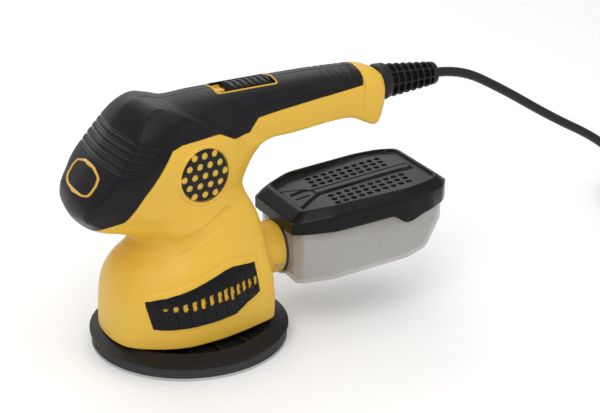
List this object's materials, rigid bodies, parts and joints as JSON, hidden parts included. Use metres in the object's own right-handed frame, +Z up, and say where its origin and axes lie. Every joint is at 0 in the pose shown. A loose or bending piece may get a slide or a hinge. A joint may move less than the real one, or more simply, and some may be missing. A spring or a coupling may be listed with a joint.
{
  "type": "orbital sander",
  "caption": "Corded random orbital sander with a top handle, motor head, round pad, side vents, slide switch and a translucent dust box with a perforated lid.",
  "frame": {"origin": "on the motor axis, on the sanding face that the tool stands on", "axes": "+X to the rear of the handle, +Z up along the motor axis, Y across the tool, which is a mirror image about y = 0 apart from screws, pad holes and coil"},
  "size_m": [0.6077, 0.1563, 0.168],
  "materials": {
    "yellow_plastic": "fine moulded texture",
    "soft_grip": "satin soft-touch skin",
    "black_plastic": "smooth moulded black",
    "dark_plastic": "matt engineering plastic",
    "badge_orange": "smooth painted frame",
    "clear_grey": "frosted translucent plastic",
    "foam": "closed-cell foam",
    "hook": "short hook pile",
    "steel": "machined",
    "lamination": "stacked sheet steel",
    "copper": "enamelled copper wire",
    "brass": "pressed brass",
    "carbon": "sintered carbon",
    "zinc": "die cast",
    "fan_plastic": "glass-filled nylon",
    "cord_rubber": "smooth rubber sheath",
    "paper": "pleated filter paper",
    "nickel": "nickel plated"
  },
  "bodies": {
    "housing": {"housing_left": "yellow_plastic", "housing_right": "yellow_plastic", "dust_outlet": "yellow_plastic", "grip_left": "soft_grip", "grip_right": "soft_grip", "head_cap": "soft_grip", "handle_strip": "soft_grip", "head_badge": "badge_orange", "round_grille_left": "black_plastic", "round_grille_right": "black_plastic", "side_vent_left": "black_plastic", "side_vent_right": "black_plastic", "housing_screws": "steel", "stator_core": "lamination", "field_coils": "copper", "brush_holders": "brass", "carbon_brushes": "carbon", "brush_springs": "steel", "bearing_plate": "zinc", "lower_bearing": "steel", "upper_bearing": "steel", "brake_ring": "foam", "switch_bezel": "yellow_plastic", "switch_body": "dark_plastic", "capacitor": "badge_orange", "cord_clamp": "dark_plastic", "clamp_base": "dark_plastic", "clamp_screws": "steel", "inner_cord": "cord_rubber", "cord_boot": "cord_rubber", "mains_cord": "cord_rubber", "cord_tail": "cord_rubber", "cord_coil": "cord_rubber", "cord_tie": "dark_plastic", "plug_body": "cord_rubber", "plug_pins": "nickel"},
    "rotor": {"motor_shaft": "steel", "armature_core": "lamination", "armature_windings": "copper", "commutator": "copper", "fan": "fan_plastic", "eccentric": "zinc", "pad_screw": "steel"},
    "pad": {"pad_plate": "dark_plastic", "pad_foam": "foam", "hook_layer": "hook", "pad_bearing": "steel"},
    "switch": {"switch_button": "black_plastic", "switch_slide_link": "dark_plastic"},
    "dust_box": {"dust_box": "clear_grey", "box_seal": "foam", "dust_filter": "paper"},
    "lid": {"dust_box_lid": "black_plastic"}
  },
  "joints": [
    {"name": "motor_spin", "type": "hinge", "parent": "housing", "child": "rotor", "pos_m": [0, 0, 0.06], "axis": [0, 0, 1], "continuous": true},
    {"name": "pad_spin", "type": "hinge", "parent": "rotor", "child": "pad", "pos_m": [0.0012, 0, 0.01], "axis": [0, 0, 1], "continuous": true},
    {"name": "switch_slide", "type": "slide", "parent": "housing", "child": "switch", "axis": [-1, 0, 0], "range_m": [0, 0.008]},
    {"name": "dust_box_pull", "type": "slide", "parent": "housing", "child": "dust_box", "axis": [1, 0, 0], "range_m": [0, 0.05]},
    {"name": "lid_lift", "type": "slide", "parent": "dust_box", "child": "lid", "axis": [0, 0, 1], "range_m": [0, 0.03]}
  ]
}
